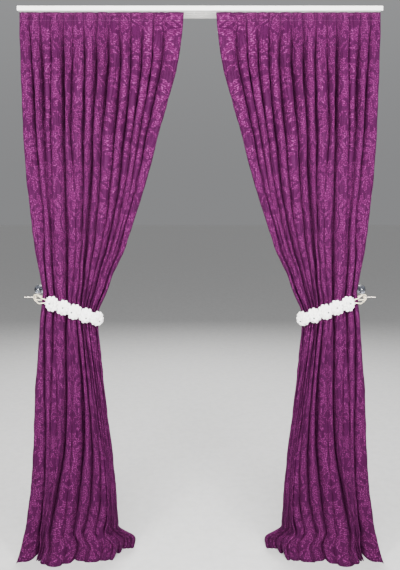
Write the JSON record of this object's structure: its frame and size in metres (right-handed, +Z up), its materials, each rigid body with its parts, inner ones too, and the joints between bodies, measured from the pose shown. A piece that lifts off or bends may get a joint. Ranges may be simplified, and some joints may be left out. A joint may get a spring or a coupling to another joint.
{
  "type": "pair of tied-back damask curtains on a ceiling curtain rail",
  "caption": "Two gathered damask curtains hung from a white ceiling rail by gliders, each drawn to the side by a band of fabric flowers on a wall hook with a glass ball.",
  "frame": {"origin": "centre of the rail's top face, which is fixed to the ceiling", "axes": "+Z up, +X along the rail to the right as seen from the room, +Y from the room towards the window"},
  "size_m": [1.714, 0.2025, 2.5994],
  "materials": {
    "rail": "satin white extruded plastic",
    "glider": "white moulded plastic",
    "damask": "purple jacquard damask, satin ground with a lighter crinkled motif",
    "tape": "off-white woven heading tape",
    "band": "white woven ribbon",
    "flower": "white satin petals",
    "cord": "cream twisted cord",
    "hook": "pale satin metal",
    "ball": "clear faceted glass"
  },
  "bodies": {
    "root": {"rail": "rail", "glider_spare_1": "glider", "glider_spare_2": "glider", "curtain_left": "damask", "heading_tape_left": "tape", "tie_band_left": "band", "glider_left_01": "glider", "glider_left_02": "glider", "glider_left_03": "glider", "glider_left_04": "glider", "glider_left_05": "glider", "glider_left_06": "glider", "glider_left_07": "glider", "glider_left_08": "glider", "glider_left_09": "glider", "glider_left_10": "glider", "glider_left_11": "glider", "glider_left_12": "glider", "glider_left_13": "glider", "glider_left_14": "glider", "flower_left_1": "flower", "flower_left_2": "flower", "flower_left_3": "flower", "flower_left_4": "flower", "flower_left_5": "flower", "tie_loop_front_left": "cord", "tie_loop_back_left": "cord", "hook_left": "hook", "ball_left": "ball", "curtain_right": "damask", "heading_tape_right": "tape", "tie_band_right": "band", "glider_right_01": "glider", "glider_right_02": "glider", "glider_right_03": "glider", "glider_right_04": "glider", "glider_right_05": "glider", "glider_right_06": "glider", "glider_right_07": "glider", "glider_right_08": "glider", "glider_right_09": "glider", "glider_right_10": "glider", "glider_right_11": "glider", "glider_right_12": "glider", "glider_right_13": "glider", "glider_right_14": "glider", "flower_right_1": "flower", "flower_right_2": "flower", "flower_right_3": "flower", "flower_right_4": "flower", "flower_right_5": "flower", "tie_loop_front_right": "cord", "tie_loop_back_right": "cord", "hook_right": "hook", "ball_right": "ball"}
  },
  "joints": []
}
